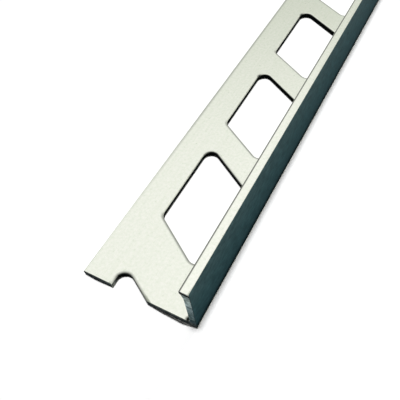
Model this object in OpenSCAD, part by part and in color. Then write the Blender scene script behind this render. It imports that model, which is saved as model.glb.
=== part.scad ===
// Tile edge trim: one length of extruded aluminium with a perforated anchoring leg,
// an upright wall that guards the tile's edge, and a narrow lip that caps it.
// It lies on its leg. X runs across the leg towards the wall, Y along the length, Z up,
// and the origin is on the floor under the middle of the trim.

/* [Length] */
// Length of the bar as it is sold
bar_l = 1000; // [300:10:3000]

/* [Section] */
// Width of the leg, from its free edge to the outer face of the wall
leg_w = 23.9; // [22:0.1:30]
// Thickness of the leg
leg_t = 1.2; // [0.8:0.1:2]
// Height over all, from the underside of the leg to the top of the lip
trim_h = 12.5; // [8:0.5:20]
// Thickness of the wall
wall_t = 1.2; // [0.8:0.1:1.4]
// Width of the lip's top, the face that stays in sight
lip_w = 1.8; // [1.6:0.1:3]
// Thickness of the lip at its tip
lip_t = 1.1; // [0.7:0.1:1.5]
// Depth below the top at which the lip's sloping underside meets the wall
lip_root = 2.4; // [1.6:0.1:3]
// Radius of the outer edges of the section
edge_r = 0.25; // [0.1:0.05:0.3]
// Radius of the fillet inside the foot of the wall
foot_r = 0.8; // [0.2:0.1:1]

/* [Perforation] */
// Spacing of the holes along the leg
hole_pitch = 28.1; // [26:0.1:40]
// Width of a hole across the leg
hole_w = 12.6; // [8:0.2:14]
// Length of a hole along the leg
hole_l = 20.5; // [14:0.1:22]
// Slant of a hole's ends from square, in degrees
hole_slant = 34; // [0:1:40]
// Radius of a hole's corners
hole_r = 1.8; // [1:0.1:3]
// Width of solid leg between its free edge and the holes
edge_land = 6.8; // [3:0.2:7]
// Distance from the near end to the centre of the first whole hole
first_hole = 23; // [18:0.5:30]
// Distance from the first whole hole back to the centre of the hole that the saw cut through
cut_hole_back = 32.8; // [26:0.2:36]
// How much nearer to the free edge that hole sits than the whole ones
cut_hole_side = 0.5; // [0:0.1:1]
// Least length of solid leg beyond the last hole
end_land = 6; // [2:0.5:30]

/* [Hidden] */
$fn = 64;
// How far a cutting shape runs past the faces it cuts
over = 1;

near_end = -bar_l / 2;
free_edge = -leg_w / 2;
wall_out = leg_w / 2;
wall_in = wall_out - wall_t;
lip_tip = wall_out - lip_w;
lip_under = trim_h - lip_t;
hole_x = free_edge + edge_land + hole_w / 2;

// The centres of a hole's corner arcs, measured square to its sides
arc_x = hole_w / 2 - hole_r;
arc_y = hole_l / 2 - hole_r / cos(hole_slant);
// Half of what a hole covers along the leg, from its centre to the reach of its sharper corners
hole_reach = arc_y + arc_x * tan(hole_slant) + hole_r;
hole_count = 1 + floor((bar_l - first_hole - hole_reach - end_land) / hole_pitch);
// The whole holes from the near end, and behind them the one that the saw cut through
hole_places = [
    [hole_x - cut_hole_side, near_end + first_hole - cut_hole_back],
    for (i = [0 : hole_count - 1]) [hole_x, near_end + first_hole + i * hole_pitch]
];

// A bar of the section with its four edges rounded, from its lower left corner
module rounded_bar(w, h) {
    translate([edge_r, 0]) square([w - 2 * edge_r, h]);
    translate([0, edge_r]) square([w, h - 2 * edge_r]);
    for (x = [edge_r, w - edge_r], y = [edge_r, h - edge_r])
        translate([x, y]) circle(edge_r);
}

// The hollow fillet between the leg's top and the wall's inner face
module foot_fillet() {
    translate([wall_in - foot_r, leg_t]) difference() {
        square(foot_r);
        translate([0, foot_r]) circle(foot_r);
    }
}

// The section that the die gives the bar: leg, wall, and the lip with its sloping underside
module section() {
    translate([free_edge, 0]) rounded_bar(leg_w, leg_t);
    translate([wall_in, 0]) rounded_bar(wall_t, trim_h);
    translate([lip_tip, lip_under]) rounded_bar(lip_w, lip_t);
    polygon([
        [lip_tip + edge_r, lip_under],
        [wall_in, trim_h - lip_root],
        [wall_in + wall_t / 2, lip_under]
    ]);
    foot_fillet();
}

// A hole's outline: a slanted parallelogram with round corners, about its centre
module slanted_hole() {
    slanted_side = hole_r * [sin(hole_slant), cos(hole_slant)];
    long_side = hole_r * [1, 0];
    centres = [
        for (s = [[-1, -1], [1, -1], [1, 1], [-1, 1]])
            [s[0] * arc_x, s[1] * arc_y - s[0] * arc_x * tan(hole_slant)]
    ];
    polygon([
        centres[0] - long_side, centres[0] - slanted_side,
        centres[1] - slanted_side, centres[1] + long_side,
        centres[2] + long_side, centres[2] + slanted_side,
        centres[3] + slanted_side, centres[3] - long_side
    ]);
    for (c = centres) translate(c) circle(hole_r);
}

// Everything that the press punches out of the leg
module perforation() {
    for (place = hole_places)
        translate([place[0], place[1], -over])
            linear_extrude(leg_t + 2 * over) slanted_hole();
}

// The trim, extruded, punched and sawn square at both ends
module edge_trim() {
    color([0.87, 0.89, 0.83]) difference() {
        translate([0, bar_l / 2, 0]) rotate([90, 0, 0]) linear_extrude(bar_l) section();
        perforation();
    }
}

edge_trim();
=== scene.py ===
import bpy
import numpy as np
from mathutils import Matrix, Vector


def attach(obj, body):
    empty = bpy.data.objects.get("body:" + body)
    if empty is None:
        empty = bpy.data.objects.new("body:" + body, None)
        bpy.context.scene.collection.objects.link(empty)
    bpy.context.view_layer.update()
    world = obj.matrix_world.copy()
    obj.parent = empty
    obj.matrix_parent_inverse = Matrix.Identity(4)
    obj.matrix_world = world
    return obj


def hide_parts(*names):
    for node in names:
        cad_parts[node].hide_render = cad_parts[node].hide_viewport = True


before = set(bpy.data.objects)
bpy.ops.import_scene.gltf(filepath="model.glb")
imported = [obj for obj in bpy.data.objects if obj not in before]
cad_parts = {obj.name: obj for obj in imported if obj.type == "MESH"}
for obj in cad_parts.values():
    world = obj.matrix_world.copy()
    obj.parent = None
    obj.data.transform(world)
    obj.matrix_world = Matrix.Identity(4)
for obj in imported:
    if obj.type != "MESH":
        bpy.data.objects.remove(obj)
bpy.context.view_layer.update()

# The trim: one length of aluminium, pressed through a die, punched along its leg and sawn square.
# Its section is a flat leg, an upright wall and a narrow lip, all one piece of 1.2 mm metal.
# Sizes are in millimetres, in the frame of the CAD model: X across, Y along the bar, Z up.
BAR_LENGTH = 1000.0
LEG_WIDTH = 23.9
LEG_THICK = 1.2
TRIM_HEIGHT = 12.5
WALL_THICK = 1.2
LIP_WIDTH = 1.8
LIP_THICK = 1.1
LIP_ROOT = 2.4
EDGE_RADIUS = 0.25
FOOT_RADIUS = 0.8
HOLE_PITCH = 28.1
HOLE_WIDTH = 12.6
HOLE_LENGTH = 20.5
HOLE_SLANT = np.radians(34.0)
HOLE_RADIUS = 1.8
HOLE_COUNT = 35
EDGE_LAND = 6.8
FIRST_HOLE = 23.0
CUT_HOLE_BACK = 32.8
CUT_HOLE_SIDE = 0.5
# The saw pulled the slanted side of the hole it cut open to this slant.
CUT_SLANT = np.radians(30.5)
# The punch rolls the top edge of a hole over and breaks out the foot of its wall by this much.
ROLL_OVER = 0.25
BREAK_OUT = 0.06
# The painted shade of a rolled or rounded edge starts this far back from it.
SHADE_RIM = 0.6
SHADE_LIP = 0.4
SHADE_FREE = 0.8
# From this far along, the free edge's painted shade is at full strength: nearer the near end it fades
# out.
SHADE_FADE = 45.0
# A band this wide round each end is painted dark, as painted shade.
END_SHADE_WIDTH = 0.1
# How dark the underside is painted, as painted shade that keeps the gap under the trim dark.
UNDER_SHADE = 0.85
# Half the width of leg that each hole's own patch of the mesh covers, and the steps round a corner.
CELL_HALF = 8.0
CORNER_STEPS = 10

NEAR_END = -BAR_LENGTH / 2
FAR_END = BAR_LENGTH / 2
FREE_EDGE = -LEG_WIDTH / 2
WALL_OUT = LEG_WIDTH / 2
WALL_IN = WALL_OUT - WALL_THICK
LIP_TIP = WALL_OUT - LIP_WIDTH
LIP_UNDER = TRIM_HEIGHT - LIP_THICK
HOLE_X = FREE_EDGE + EDGE_LAND + HOLE_WIDTH / 2
CELL_LOW = HOLE_X - CELL_HALF
CELL_HIGH = HOLE_X + CELL_HALF
FIRST_Y = NEAR_END + FIRST_HOLE
SLOPE = np.tan(HOLE_SLANT)
# The finishes, in the order of the mesh's materials.
SATIN, OUTER, PUNCHED, SAWN = range(4)


def arc(x, z, radius, start, stop, steps):
    """Points on a circle about x, z, from one angle in degrees to another."""
    angle = np.radians(np.linspace(start, stop, steps + 1))
    return np.stack([x + radius * np.cos(angle), z + radius * np.sin(angle)], 1)


def free_edge_profile():
    """The section from the leg's top, round its free edge by two quarter arcs, to its underside."""
    x = FREE_EDGE + EDGE_RADIUS
    return np.concatenate([
        [[CELL_LOW, LEG_THICK], [FREE_EDGE + SHADE_FREE, LEG_THICK]],
        arc(x, LEG_THICK - EDGE_RADIUS, EDGE_RADIUS, 90, 180, 5),
        arc(x, EDGE_RADIUS, EDGE_RADIUS, 180, 270, 5),
        [[CELL_LOW, 0.0]],
    ])


def wall_profile():
    """The section from the leg's underside, up the wall's outer face, over the lip, round its tip,
    down its sloping underside and the wall's inner face, and by the fillet to the leg's top."""
    r = EDGE_RADIUS
    return np.concatenate([
        [[CELL_HIGH, 0.0]],
        arc(WALL_OUT - r, r, r, 270, 360, 6),
        arc(WALL_OUT - r, TRIM_HEIGHT - r, r, 0, 90, 6),
        [[LIP_TIP + SHADE_LIP, TRIM_HEIGHT]],
        arc(LIP_TIP + r, TRIM_HEIGHT - r, r, 90, 180, 6),
        arc(LIP_TIP + r, LIP_UNDER + r, r, 180, 270, 4),
        [[WALL_IN, TRIM_HEIGHT - LIP_ROOT]],
        arc(WALL_IN - FOOT_RADIUS, LEG_THICK + FOOT_RADIUS, FOOT_RADIUS, 0, -90, 6),
        [[CELL_HIGH, LEG_THICK]],
    ])


def along_bar(profile, stations):
    """A section carried along the bar: rows are stations on Y, columns are points of the section."""
    grid = np.empty((len(stations), len(profile), 3))
    grid[..., 0] = profile[:, 0]
    grid[..., 1] = stations[:, None]
    grid[..., 2] = profile[:, 1]
    return grid


def rim_profile():
    """What the punch leaves, from the top to the underside: how far each point lies back from the
    hole's outline, and its height. After a flat run a quarter turn rolls over, the wall goes straight
    down, and its foot breaks out."""
    turn = np.radians(np.linspace(0, 90, 5))
    back = ROLL_OVER * (1 - np.sin(turn))
    height = LEG_THICK - ROLL_OVER * (1 - np.cos(turn))
    back = np.concatenate([[SHADE_RIM], back, [0.0, BREAK_OUT]])
    return back, np.concatenate([[LEG_THICK], height, [0.4 * LEG_THICK, 0.0]])


def hole_outline():
    """A hole as one round of points on four corner arcs: each point's arc centre, and the direction
    square to the outline. The sides are the straight runs from one arc's end to the next one's start."""
    across = np.array([1, -1, -1, 1]) * (HOLE_WIDTH / 2 - HOLE_RADIUS)
    along = np.array([1, 1, -1, -1]) * (HOLE_LENGTH / 2 - HOLE_RADIUS / np.cos(HOLE_SLANT))
    corner = np.stack([across, along - across * SLOPE], 1)
    slanted = np.pi / 2 - HOLE_SLANT
    turns = np.array([0, slanted, np.pi, np.pi + slanted, 2 * np.pi])
    share = np.linspace(0, 1, CORNER_STEPS + 1)
    angle = (turns[:-1, None] + np.diff(turns)[:, None] * share).ravel()
    centre = np.repeat(corner, CORNER_STEPS + 1, axis=0)
    return centre, np.stack([np.cos(angle), np.sin(angle)], 1)


def cell_outline():
    """The slanted piece of leg about one hole: four straight sides, with as many even steps round
    them as there are points round the hole, each side's ends set against the middles of two arcs."""
    across = CELL_HALF * np.array([1, -1, -1, 1])
    corner = np.stack([across, HOLE_PITCH / 2 * np.array([1, 1, -1, -1]) - across * SLOPE], 1)
    share = np.arange(CORNER_STEPS + 1)[:, None] / (CORNER_STEPS + 1)
    side = corner[:, None] + (np.roll(corner, -1, axis=0) - corner)[:, None] * share
    return np.roll(side.reshape(-1, 2), CORNER_STEPS // 2, axis=0)


def punched_cells():
    """The leg about every hole. Rows go from the cell's outline in to the rim, down the punched wall
    and out again on the underside, columns go round the hole, and the grid repeats at the spacing."""
    centre, square = hole_outline()
    outer = cell_outline()[None]
    back, height = rim_profile()
    rim = centre + (HOLE_RADIUS + back[:, None, None]) * square
    plan = np.concatenate([outer, rim, outer])
    cells = np.empty((HOLE_COUNT, *plan.shape[:2], 3))
    cells[..., 0] = HOLE_X + plan[..., 0]
    cells[..., 1] = FIRST_Y + HOLE_PITCH * np.arange(HOLE_COUNT)[:, None, None] + plan[..., 1]
    cells[..., 2] = np.concatenate([[LEG_THICK], height, [0.0]])[:, None]
    return cells


def cut_hole_rim():
    """The corner of a hole that the saw left at the near end. Columns go from the saw's plane along
    the slanted side, round the corner arc and back to the plane, and rows go down the punched wall."""
    centre, square = hole_outline()
    corner = slice(CORNER_STEPS + 1, 2 * CORNER_STEPS + 2)
    back, height = rim_profile()
    line = centre[corner] + (HOLE_RADIUS + back[:, None, None]) * square[corner]
    line = line + [HOLE_X - CUT_HOLE_SIDE, FIRST_Y - CUT_HOLE_BACK]
    line = np.concatenate([line[:, :1], line, line[:, -1:]], 1)
    line[:, 0, 0] += (line[:, 0, 1] - NEAR_END) / np.tan(CUT_SLANT)
    line[:, [0, -1], 1] = NEAR_END
    return np.concatenate([line, np.broadcast_to(height[:, None, None], (*line.shape[:2], 1))], 2)


def grid_faces(rows, columns, closed=False):
    """The four-sided faces of a grid, by rows, with the columns joined into a ring if closed."""
    here = np.arange(columns if closed else columns - 1)
    there = (here + 1) % columns
    row = np.arange(rows - 1)[:, None] * columns
    faces = np.stack([row + here, row + there, row + columns + there, row + columns + here], 2)
    return faces.reshape(-1, 4)


def patch(points, faces, finish, smooth, edge=0.0):
    """A part of the mesh: its points, its faces, each face's finish and shading, and how dark each
    point is painted, as painted shade."""
    edge = np.broadcast_to(edge, points.shape[:-1]).ravel()
    finish = np.broadcast_to(finish, len(faces))
    return points.reshape(-1, 3), faces, finish, np.broadcast_to(smooth, len(faces)), edge


def flat_face(points, finish, edge=0.0):
    """A part of the mesh that is one flat face through a round of points."""
    return patch(points, np.arange(len(points))[None], finish, False, edge)


def in_plan(points, z):
    """Points of the plan at one height."""
    return np.insert(points, 2, z, axis=1)


def at_end(points, y):
    """Points of the section at one end of the bar."""
    return np.insert(points, 1, y, axis=1)


def joined_mesh(name, patches):
    """One mesh of all the patches, in metres, its points joined wherever two patches meet."""
    points = np.concatenate([p[0] for p in patches])
    starts = np.cumsum([0] + [len(p[0]) for p in patches])
    _, kept, joined = np.unique(np.round(points, 4), axis=0, return_index=True, return_inverse=True)
    joined = joined.ravel()
    faces = []
    for start, part in zip(starts, patches):
        faces += joined[start + part[1]].tolist()
    mesh = bpy.data.meshes.new(name)
    mesh.from_pydata(points[kept] / 1000, [], faces)
    mesh.polygons.foreach_set("material_index", np.concatenate([p[2] for p in patches]).astype(np.int32))
    mesh.polygons.foreach_set("use_smooth", np.concatenate([p[3] for p in patches]))
    edge = mesh.attributes.new("edge", "FLOAT", "POINT")
    edge.data.foreach_set("value", np.concatenate([p[4] for p in patches])[kept].astype(np.float32))
    mesh.update()
    return mesh


# The punched band of the leg: flat, rolled rim, wall, underside, by rows of each hole's grid.
cells = punched_cells()
rows, columns = cells.shape[1:3]
rim_finish = np.array([SATIN] * 5 + [PUNCHED] * 2)
cell_finish = np.repeat(np.concatenate([[SATIN], rim_finish, [SATIN]]), columns)
cell_smooth = np.repeat([False] * 2 + [True] * 6 + [False], columns)
# Painted shade round each hole, by the rows of its grid: the near slanted side's roll is painted grey,
# the far slanted side's is painted black at the foot of the roll, and the long sides stay bright down to
# there. On every third hole the far side's painted shade reaches further up the roll, and on the others
# it darkens the far corners. The punched wall is painted black, and the underside dark.
side = hole_outline()[1][:, 1] / np.cos(HOLE_SLANT)
near_rim_shade = np.array([0.0, 0.6, 0.6, 0.6, 0.6])[:, None] * np.clip(-side, 0.0, 1.0)
far_rim_shade = np.clip(side, 0.0, 1.0)
every_third = np.arange(HOLE_COUNT)[:, None] % 3 == 0
reach = np.where(every_third, [0.0, 0.15, 0.5, 0.9, 1.0], [0.0, 0.0, 0.1, 0.3, 1.0])[..., None]
turned = np.where(every_third, 0.0, [0.0, 0.4, 0.8, 1.0, 1.0])[..., None] * 4 * far_rim_shade * (1 - far_rim_shade)
cell_tone = np.ones((HOLE_COUNT, rows, columns))
cell_tone[:, 0] = 0.0
cell_tone[:, 1:6] = np.maximum(np.maximum(near_rim_shade, reach * far_rim_shade), turned)
cell_tone[:, 6] = np.maximum(0.2, far_rim_shade)
cell_tone[:, -1] = UNDER_SHADE
cell_faces = grid_faces(rows, columns, closed=True)
all_faces = np.arange(HOLE_COUNT)[:, None, None] * rows * columns + cell_faces
cell_finish = np.tile(cell_finish, HOLE_COUNT)
cell_smooth = np.tile(cell_smooth, HOLE_COUNT)
patches = [patch(cells, all_faces.reshape(-1, 4), cell_finish, cell_smooth, cell_tone)]

# The free edge and the wall with its lip, each carried along the bar at the cells' own steps. A tone
# is how dark each point of the section is painted: painted shade on the free edge's arcs, the lip's tip
# and the underside.
steps = np.arange(HOLE_COUNT * (CORNER_STEPS + 1) + 1) * HOLE_PITCH / (CORNER_STEPS + 1)
steps += FIRST_Y - HOLE_PITCH / 2
free_edge = free_edge_profile()
free_smooth = [False] * 2 + [True] * 5 + [False] + [True] * 5 + [False]
free_tone = np.zeros(len(free_edge))
free_tone[2:9] = 0.46, 0.46, 0.4, 0.4, 0.3, 0.25, 0.25
free_tone[-2:] = UNDER_SHADE
wall = wall_profile()
wall_smooth = [False] + ([True] * 6 + [False]) * 2 + [False] + [True] * 6 + [False]
wall_smooth += [True] * 4 + [False] * 2 + [True] * 6 + [False]
wall_finish = np.full(len(wall) - 1, SATIN)
wall_finish[6:11] = OUTER
wall_tone = np.zeros(len(wall))
wall_tone[16:23] = 0.72, 0.82, 0.82, 0.82, 0.82, 0.6, 0.3
wall_tone[23:28] = 0.2
wall_tone[:2] = UNDER_SHADE
for profile, shift, finish, smooth, tone, fade_length in (
    (free_edge, CELL_HALF * SLOPE, np.full(len(free_edge) - 1, SATIN), free_smooth, free_tone, SHADE_FADE),
    (wall, -CELL_HALF * SLOPE, wall_finish, wall_smooth, wall_tone, 0.0),
):
    stations = np.concatenate([[NEAR_END], steps + shift, [FAR_END]])
    faces = grid_faces(len(stations), len(profile))[:, ::-1]
    runs = len(stations) - 1
    # The painted shade of the free edge fades out towards the near end.
    shade_share = np.interp(stations - NEAR_END, [0.25 * fade_length - 0.001, fade_length], [0.0, 1.0])[:, None]
    tone = np.where(profile[:, 1] > 0.0, shade_share * tone, tone)
    grid = along_bar(profile, stations)
    patches.append(patch(grid, faces, np.tile(finish, runs), np.tile(smooth, runs), tone))

# The near end's cut hole, the leg's top and underside out to each end, and the sawn faces.
notch = cut_hole_rim()
rows, columns = notch.shape[:2]
notch_finish = np.repeat(rim_finish, columns - 1)
# How dark the cut hole is painted: painted shade that deepens from its rim down its wall and fades out at
# the last columns.
notch_tone = np.repeat(np.array([0.0, 0.45, 0.7, 0.9] + [1.0] * 4)[:, None], columns, axis=1)
notch_tone *= np.interp(np.arange(columns), [columns - 4, columns - 1], [1.0, 0.1])
patches.append(patch(notch, grid_faces(rows, columns), notch_finish, True, notch_tone))
across = np.linspace(CELL_HALF, -CELL_HALF, CORNER_STEPS + 2)
near_line = np.stack([HOLE_X + across, FIRST_Y - HOLE_PITCH / 2 - across * SLOPE], 1)
far_line = near_line[::-1] + [0.0, HOLE_COUNT * HOLE_PITCH]
far_plan = np.concatenate([far_line, [[CELL_HIGH, FAR_END], [CELL_LOW, FAR_END]]])
# The leg's top gets no painted shade, and its underside gets the underside's painted shade.
for row, z, way, tone in ((0, LEG_THICK, 1, 0.0), (-1, 0.0, -1, UNDER_SHADE)):
    ends = [[CELL_LOW, NEAR_END]], notch[row, ::-1, :2], [[CELL_HIGH, NEAR_END]], near_line
    patches.append(flat_face(in_plan(np.concatenate(ends)[::way], z), SATIN, tone))
    patches.append(flat_face(in_plan(far_plan[::way], z), SATIN, tone))
patches.append(flat_face(np.concatenate([at_end(free_edge, NEAR_END), notch[::-1, -1]]), SAWN))
patches.append(flat_face(np.concatenate([at_end(wall, NEAR_END), notch[:, 0]]), SAWN))
patches.append(flat_face(at_end(np.concatenate([free_edge, wall]), FAR_END)[::-1], SAWN))

trim = bpy.data.objects.new("trim", joined_mesh("trim", patches))
bpy.context.scene.collection.objects.link(trim)


def linear(code):
    """An sRGB hex colour as linear red, green, blue and alpha."""
    level = np.array([int(code[i:i + 2], 16) for i in (1, 3, 5)]) / 255
    level = np.where(level <= 0.04045, level / 12.92, ((level + 0.055) / 1.055) ** 2.4)
    return (*level.tolist(), 1.0)


def add_node(tree, kind, inputs=None, stops=(), **settings):
    """Adds a node: settings are its own properties, inputs are values or outputs to link, and stops
    are a colour ramp's places and hex colours."""
    node = tree.nodes.new(kind)
    for key, value in settings.items():
        setattr(node, key, value)
    for key, value in (inputs or {}).items():
        if isinstance(value, bpy.types.NodeSocket):
            tree.links.new(value, node.inputs[key])
        else:
            node.inputs[key].default_value = value
    for i, (place, code) in enumerate(stops):
        element = node.color_ramp.elements[i] if i < 2 else node.color_ramp.elements.new(place)
        element.position = place
        element.color = linear(code)
    return node


def new_material(name):
    """An empty node material and its tree."""
    material = bpy.data.materials.new(name)
    material.use_nodes = True
    material.node_tree.nodes.clear()
    return material, material.node_tree


def end_shade(tree, axes):
    """How far a point is in the painted shade round an end: 0 up to the band's width from an end, and
    1 on its outer half."""
    from_middle = add_node(tree, "ShaderNodeMath", {0: axes.outputs["Y"]}, operation="ABSOLUTE")
    end_shade_band = add_node(
        tree, "ShaderNodeMapRange",
        {
            "Value": from_middle.outputs[0],
            "From Min": (FAR_END - END_SHADE_WIDTH) / 1000, "From Max": (FAR_END - END_SHADE_WIDTH / 2) / 1000,
        },
    )
    return end_shade_band.outputs["Result"]


# A dark patch in the corner at the wall's foot: how far it is fully dark, and how far it reaches.
CORNER_CORE = 0.3
CORNER_REACH = 0.8


def foot_corner_dark(tree, place):
    """How far a point is in the dark patch in the corner: 1 within the core round the patch's middle,
    just in from the near end, and 0 beyond its reach."""
    middle = Vector((WALL_IN - 0.5, NEAR_END + 0.4, LEG_THICK)) / 1000
    reach = add_node(tree, "ShaderNodeVectorMath", {0: place, 1: middle}, operation="DISTANCE")
    dark_share = add_node(
        tree, "ShaderNodeMapRange",
        {
            "Value": reach.outputs["Value"], "From Min": CORNER_CORE / 1000, "From Max": CORNER_REACH / 1000,
            "To Min": 1.0, "To Max": 0.0,
        },
    )
    return dark_share.outputs["Result"]


# Anodised aluminium, satin etched: pale silver with a breath of green and a soft gloss. The eye gets
# faint lines that the die drew along the bar and a fine speckle. The rounded edges, the underside and a
# band round each end are painted darker as painted shade, and the corner at the wall's foot is darker.
# Widths and depths are in millimetres. The real etch is finer, and is drawn this coarse so that it shows.
DIE_LINE = 0.35
DIE_DEPTH = 0.02
SPECKLE = 0.6
satin, tree = new_material("anodised_aluminium_satin")
place = add_node(tree, "ShaderNodeTexCoord").outputs["Object"]
axes = add_node(tree, "ShaderNodeSeparateXYZ", {"Vector": place})
drawn = add_node(tree, "ShaderNodeMapping", {"Vector": place, "Scale": (1.0, 0.004, 1.0)})
die_lines = add_node(
    tree, "ShaderNodeTexNoise",
    {"Vector": drawn.outputs["Vector"], "Scale": 1000 / DIE_LINE, "Detail": 3.0, "Roughness": 0.6},
)
speckle = add_node(
    tree, "ShaderNodeTexNoise",
    {"Vector": place, "Scale": 1000 / SPECKLE, "Detail": 2.0, "Roughness": 0.7},
)
grain = add_node(
    tree, "ShaderNodeMix",
    {"Factor": 0.75, "A": die_lines.outputs["Fac"], "B": speckle.outputs["Fac"]},
)
face = add_node(
    tree, "ShaderNodeValToRGB", {"Fac": grain.outputs[0]}, [(0.35, "#F0F4E6"), (0.65, "#FFFFF6")],
)
lip = add_node(
    tree, "ShaderNodeMapRange",
    {"Value": axes.outputs["Z"], "From Min": LIP_UNDER / 1000, "From Max": TRIM_HEIGHT / 1000},
)
# Lighter from the lip's underside up to its top.
lighter_up_lip = add_node(
    tree, "ShaderNodeValToRGB", {"Fac": lip.outputs["Result"]}, [(0.0, "#F7F8F7"), (1.0, "#FFFFFF")],
)
tone = add_node(tree, "ShaderNodeAttribute", attribute_name="edge")
# The band round each end is painted shade, but not on the lip.
end_shade_band = add_node(
    tree, "ShaderNodeMath", {0: end_shade(tree, axes), 1: lip.outputs["Result"]}, operation="SUBTRACT",
)
# Painted shade: the tone and the band round each end darken the colour, and so does the dark patch in the
# corner.
darkening = add_node(
    tree, "ShaderNodeMath", {0: tone.outputs["Fac"], 1: end_shade_band.outputs[0]}, operation="MAXIMUM",
)
darkening = add_node(
    tree, "ShaderNodeMath", {0: darkening.outputs[0], 1: foot_corner_dark(tree, place)}, operation="MAXIMUM",
)
darkening = add_node(
    tree, "ShaderNodeValToRGB", {"Fac": darkening.outputs[0]}, [(0.0, "#FFFFFF"), (1.0, "#141A1A")],
)
colour = add_node(
    tree, "ShaderNodeMix",
    {"Factor": 1.0, 6: face.outputs["Color"], 7: lighter_up_lip.outputs["Color"]},
    data_type="RGBA", blend_type="MULTIPLY",
)
colour = add_node(
    tree, "ShaderNodeMix",
    {"Factor": 1.0, 6: colour.outputs[2], 7: darkening.outputs["Color"]},
    data_type="RGBA", blend_type="MULTIPLY",
)
gloss = add_node(
    tree, "ShaderNodeMapRange",
    {"Value": grain.outputs[0], "From Min": 0.3, "From Max": 0.7, "To Min": 0.27, "To Max": 0.33},
)
relief = add_node(
    tree, "ShaderNodeBump",
    {"Height": die_lines.outputs["Fac"], "Strength": 0.15, "Distance": DIE_DEPTH / 1000},
)
shader = add_node(
    tree, "ShaderNodeBsdfPrincipled",
    {
        "Base Color": colour.outputs[2], "Metallic": 0.85,
        "Roughness": gloss.outputs["Result"], "Normal": relief.outputs["Normal"],
    },
)
add_node(tree, "ShaderNodeOutputMaterial", {"Surface": shader.outputs["BSDF"]})

# Anodised aluminium on the wall's outer face. Its dark petrol grey is painted shade, deepest at its
# foot as a painted contact shadow. The eye gets a faint mottle, drawn out along the bar by the die.
STREAK = 0.8
STREAK_DEPTH = 0.02
outer, tree = new_material("outer_face_painted_shade")
place = add_node(tree, "ShaderNodeTexCoord").outputs["Object"]
axes = add_node(tree, "ShaderNodeSeparateXYZ", {"Vector": place})
drawn = add_node(tree, "ShaderNodeMapping", {"Vector": place, "Scale": (1.0, 0.4, 1.0)})
streak = add_node(
    tree, "ShaderNodeTexNoise",
    {"Vector": drawn.outputs["Vector"], "Scale": 1000 / STREAK, "Detail": 3.0, "Roughness": 0.7},
)
rise = add_node(
    tree, "ShaderNodeMapRange", {"Value": axes.outputs["Z"], "From Max": TRIM_HEIGHT / 1000},
)
# Painted shade by height: near black at the foot as a painted contact shadow, paler up the face.
painted_shade_ramp = add_node(
    tree, "ShaderNodeValToRGB", {"Fac": rise.outputs["Result"]},
    [(0.0, "#060B0E"), (0.06, "#182A30"), (0.17, "#3A555A"), (0.5, "#456367"), (0.9, "#536C6F")],
)
mottle = add_node(
    tree, "ShaderNodeValToRGB", {"Fac": streak.outputs["Fac"]}, [(0.3, "#B0B4B4"), (0.7, "#FFFFFF")],
)
colour = add_node(
    tree, "ShaderNodeMix",
    {"Factor": 1.0, 6: painted_shade_ramp.outputs["Color"], 7: mottle.outputs["Color"]},
    data_type="RGBA", blend_type="MULTIPLY",
)
# The band round each end is painted shade here too.
end_shade_band = add_node(
    tree, "ShaderNodeValToRGB", {"Fac": end_shade(tree, axes)}, [(0.0, "#FFFFFF"), (1.0, "#3C4646")],
)
colour = add_node(
    tree, "ShaderNodeMix",
    {"Factor": 1.0, 6: colour.outputs[2], 7: end_shade_band.outputs["Color"]},
    data_type="RGBA", blend_type="MULTIPLY",
)
gloss = add_node(
    tree, "ShaderNodeMapRange",
    {"Value": streak.outputs["Fac"], "From Min": 0.3, "From Max": 0.7, "To Min": 0.36, "To Max": 0.44},
)
relief = add_node(
    tree, "ShaderNodeBump",
    {"Height": streak.outputs["Fac"], "Strength": 0.1, "Distance": STREAK_DEPTH / 1000},
)
shader = add_node(
    tree, "ShaderNodeBsdfPrincipled",
    {
        "Base Color": colour.outputs[2], "Metallic": 0.4,
        "Roughness": gloss.outputs["Result"], "Normal": relief.outputs["Normal"],
        "Specular Tint": linear("#A5A9A9"), "Specular IOR Level": 0.0,
    },
)
add_node(tree, "ShaderNodeOutputMaterial", {"Surface": shader.outputs["BSDF"]})

# Punched aluminium: the walls of the holes, burnished by the punch. Their near black is painted shade,
# paler where the tone is low. The eye gets a nearly black band with fine scores down it.
SCORE = 0.3
SCORE_DEPTH = 0.03
punched, tree = new_material("punched_aluminium_edge")
place = add_node(tree, "ShaderNodeTexCoord").outputs["Object"]
scored = add_node(tree, "ShaderNodeMapping", {"Vector": place, "Scale": (1.0, 1.0, 0.1)})
scores = add_node(
    tree, "ShaderNodeTexNoise",
    {"Vector": scored.outputs["Vector"], "Scale": 1000 / SCORE, "Detail": 3.0},
)
tone = add_node(tree, "ShaderNodeAttribute", attribute_name="edge")
# Painted shade: pale where the tone is low, nearly black where it is full.
wall_shade = add_node(
    tree, "ShaderNodeValToRGB", {"Fac": tone.outputs["Fac"]},
    [(0.0, "#B4BAB0"), (0.5, "#3A4040"), (1.0, "#0A0D0D")],
)
score = add_node(
    tree, "ShaderNodeValToRGB", {"Fac": scores.outputs["Fac"]}, [(0.3, "#8C9090"), (0.7, "#FFFFFF")],
)
colour = add_node(
    tree, "ShaderNodeMix",
    {"Factor": 1.0, 6: wall_shade.outputs["Color"], 7: score.outputs["Color"]},
    data_type="RGBA", blend_type="MULTIPLY",
)
relief = add_node(
    tree, "ShaderNodeBump",
    {"Height": scores.outputs["Fac"], "Strength": 0.4, "Distance": SCORE_DEPTH / 1000},
)
shader = add_node(
    tree, "ShaderNodeBsdfPrincipled",
    {
        "Base Color": colour.outputs[2], "Metallic": 0.0, "Roughness": 0.6,
        "Normal": relief.outputs["Normal"], "Specular IOR Level": 0.0,
    },
)
add_node(tree, "ShaderNodeOutputMaterial", {"Surface": shader.outputs["BSDF"]})

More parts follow.
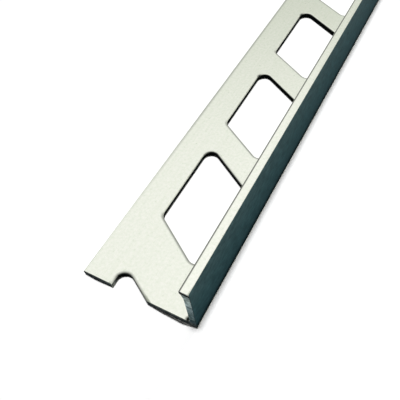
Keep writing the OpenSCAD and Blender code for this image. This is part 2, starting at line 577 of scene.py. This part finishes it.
# Sawn aluminium: the cut ends, mottled grey where the blade tore the metal. Their grey by height is
# painted light and shade: darkest at the floor and along the leg, paler up the wall, with a dark line
# just below the top and a painted highlight along the top edge. They are darker in the corner at the
# wall's foot.
TEAR = 0.7
TEAR_DEPTH = 0.06
sawn, tree = new_material("sawn_aluminium_end")
place = add_node(tree, "ShaderNodeTexCoord").outputs["Object"]
height = add_node(tree, "ShaderNodeSeparateXYZ", {"Vector": place}).outputs["Z"]
rise = add_node(
    tree, "ShaderNodeMapRange", {"Value": height, "From Max": TRIM_HEIGHT / 1000},
)
# Painted light and shade by height.
grey = add_node(
    tree, "ShaderNodeValToRGB", {"Fac": rise.outputs["Result"]},
    [
        (0.0, "#0A0D0D"), (0.05, "#50585A"), (0.1, "#5A6464"), (0.16, "#465A62"), (0.24, "#72888A"),
        (0.4, "#72888A"), (0.56, "#ADC4C8"), (0.8, "#C8DCD8"), (0.915, "#9AA8A8"), (0.935, "#14181A"),
        (0.97, "#14181A"), (0.985, "#E8ECE4"),
    ],
)
torn = add_node(
    tree, "ShaderNodeTexNoise",
    {"Vector": place, "Scale": 1000 / TEAR, "Detail": 3.0, "Roughness": 0.7},
)
mottle = add_node(
    tree, "ShaderNodeValToRGB", {"Fac": torn.outputs["Fac"]}, [(0.35, "#8E9494"), (0.62, "#FFFFFF")],
)
colour = add_node(
    tree, "ShaderNodeMix",
    {"Factor": 1.0, 6: grey.outputs["Color"], 7: mottle.outputs["Color"]},
    data_type="RGBA", blend_type="MULTIPLY",
)
colour = add_node(
    tree, "ShaderNodeMix",
    {"Factor": foot_corner_dark(tree, place), 6: colour.outputs[2], 7: linear("#14181A")},
    data_type="RGBA",
)
gloss = add_node(
    tree, "ShaderNodeMapRange",
    {"Value": torn.outputs["Fac"], "From Min": 0.35, "From Max": 0.62, "To Min": 0.7, "To Max": 0.5},
)
relief = add_node(
    tree, "ShaderNodeBump",
    {"Height": torn.outputs["Fac"], "Strength": 0.5, "Distance": TEAR_DEPTH / 1000},
)
shader = add_node(
    tree, "ShaderNodeBsdfPrincipled",
    {
        "Base Color": colour.outputs[2], "Metallic": 0.0, "Roughness": gloss.outputs["Result"],
        "Normal": relief.outputs["Normal"], "Specular IOR Level": 0.0,
    },
)
add_node(tree, "ShaderNodeOutputMaterial", {"Surface": shader.outputs["BSDF"]})

for material in (satin, outer, punched, sawn):
    trim.data.materials.append(material)
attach(trim, "root")
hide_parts("edge_trim")

# The floor: a plain white sheet of paper. The burrs under the holes hold the leg a hair above it, and
# the wall's foot comes nearer. It sags under the near end, so that a dark gap shows there.
FLOOR_HALF = 4000.0
FLOOR_GAP = 0.25
FOOT_GAP = 0.05
FLOOR_SAG = 1.5


def sagging_sheet():
    """The sheet as a grid. It lies below the trim by the gap, and lower by the sag times a share across
    it and a share along it. All three are runs of straight slopes, given at the grid's places."""
    x = [-FLOOR_HALF, FREE_EDGE, FREE_EDGE + 2.5, FREE_EDGE + EDGE_LAND, HOLE_X + 1.0, HOLE_X + 3.5]
    x += [WALL_IN - 2.0, WALL_OUT, WALL_OUT + 3.0, FLOOR_HALF]
    gap = np.array([FLOOR_GAP] * 7 + [FOOT_GAP] * 3)
    across = np.array([0.0, 0.0, 0.35, 0.05, 0.1, 0.6, 1.0, 0.15, 0.0, 0.0])
    y = [-FLOOR_HALF, NEAR_END - 40.0, NEAR_END + 0.5, NEAR_END + 1.7, FLOOR_HALF]
    along = np.array([0.0, 0.0, 1.0, 0.0, 0.0])
    grid = np.empty((len(y), len(x), 3))
    grid[..., 0] = x
    grid[..., 1] = np.array(y)[:, None]
    grid[..., 2] = -gap - FLOOR_SAG * across * along[:, None]
    return grid


sheet = sagging_sheet()
floor_mesh = bpy.data.meshes.new("floor")
floor_mesh.from_pydata(sheet.reshape(-1, 3) / 1000, [], grid_faces(*sheet.shape[:2]))
floor = bpy.data.objects.new("floor", floor_mesh)
bpy.context.scene.collection.objects.link(floor)
white, tree = new_material("white_paper_sheet")
paper = add_node(
    tree, "ShaderNodeBsdfPrincipled",
    {"Base Color": linear("#FCFCFC"), "Roughness": 1.0, "Specular IOR Level": 0.0},
)
add_node(tree, "ShaderNodeOutputMaterial", {"Surface": paper.outputs["BSDF"]})
floor_mesh.materials.append(white)

# The light: one soft lamp straight overhead, in a white room whose walls are dim half way up. Only the
# metal mirrors those walls: behind the trim there is plain white, and the room itself adds little light.
lamp_data = bpy.data.lights.new("overhead", "SUN")
# At a strength of about pi, a white face right below the lamp renders white.
lamp_data.energy = 3.25
lamp_data.angle = np.radians(9.0)
lamp = bpy.data.objects.new("overhead", lamp_data)
bpy.context.scene.collection.objects.link(lamp)
lamp.rotation_euler = (0.0, np.radians(-1.25), 0.0)
lamp.visible_glossy = False

world = bpy.data.worlds.new("room")
bpy.context.scene.world = world
world.use_nodes = True
tree = world.node_tree
tree.nodes.clear()
path = add_node(tree, "ShaderNodeLightPath")
seen = add_node(
    tree, "ShaderNodeMath", {0: path.outputs["Is Camera Ray"], 1: path.outputs["Is Glossy Ray"]},
    operation="MAXIMUM",
)
seen = add_node(
    tree, "ShaderNodeMath", {0: seen.outputs[0], 1: path.outputs["Is Transmission Ray"]},
    operation="MAXIMUM",
)
look = add_node(tree, "ShaderNodeTexCoord").outputs["Generated"]
rise = add_node(tree, "ShaderNodeSeparateXYZ", {"Vector": look}).outputs["Z"]
walls = add_node(
    tree, "ShaderNodeValToRGB", {"Fac": rise},
    [(0.13, "#FFFFFF"), (0.2, "#A8B0A0"), (0.42, "#A8B0A0"), (0.67, "#FFFFFF")],
)
colour = add_node(
    tree, "ShaderNodeMix",
    {"Factor": path.outputs["Is Glossy Ray"], 6: linear("#FFFFFF"), 7: walls.outputs["Color"]},
    data_type="RGBA",
)
backdrop = add_node(tree, "ShaderNodeBackground", {"Color": colour.outputs[2], "Strength": 1.0})
fill = add_node(tree, "ShaderNodeBackground", {"Color": linear("#FFFFFF"), "Strength": 0.03})
room = add_node(
    tree, "ShaderNodeMixShader",
    {0: seen.outputs[0], 1: fill.outputs["Background"], 2: backdrop.outputs["Background"]},
)
add_node(tree, "ShaderNodeOutputWorld", {"Surface": room.outputs["Shader"]})

# The camera: just off the near end, above it on the wall's side, looking down along the bar.
camera_data = bpy.data.cameras.new("camera")
camera_data.lens = 42.476
camera_data.sensor_width = 36.0
camera_data.clip_start = 0.001
camera = bpy.data.objects.new("camera", camera_data)
bpy.context.scene.collection.objects.link(camera)
forward = Vector((-0.356935, 0.4947891, -0.7923264))
right = Vector((0.874586, 0.4749932, -0.0973701))
turn = Matrix((right, right.cross(forward), -forward)).transposed().to_4x4()
camera.matrix_world = Matrix.Translation((0.033613, -0.5233354, 0.0758627)) @ turn
bpy.context.scene.camera = camera
bpy.context.scene.view_settings.view_transform = "Standard"
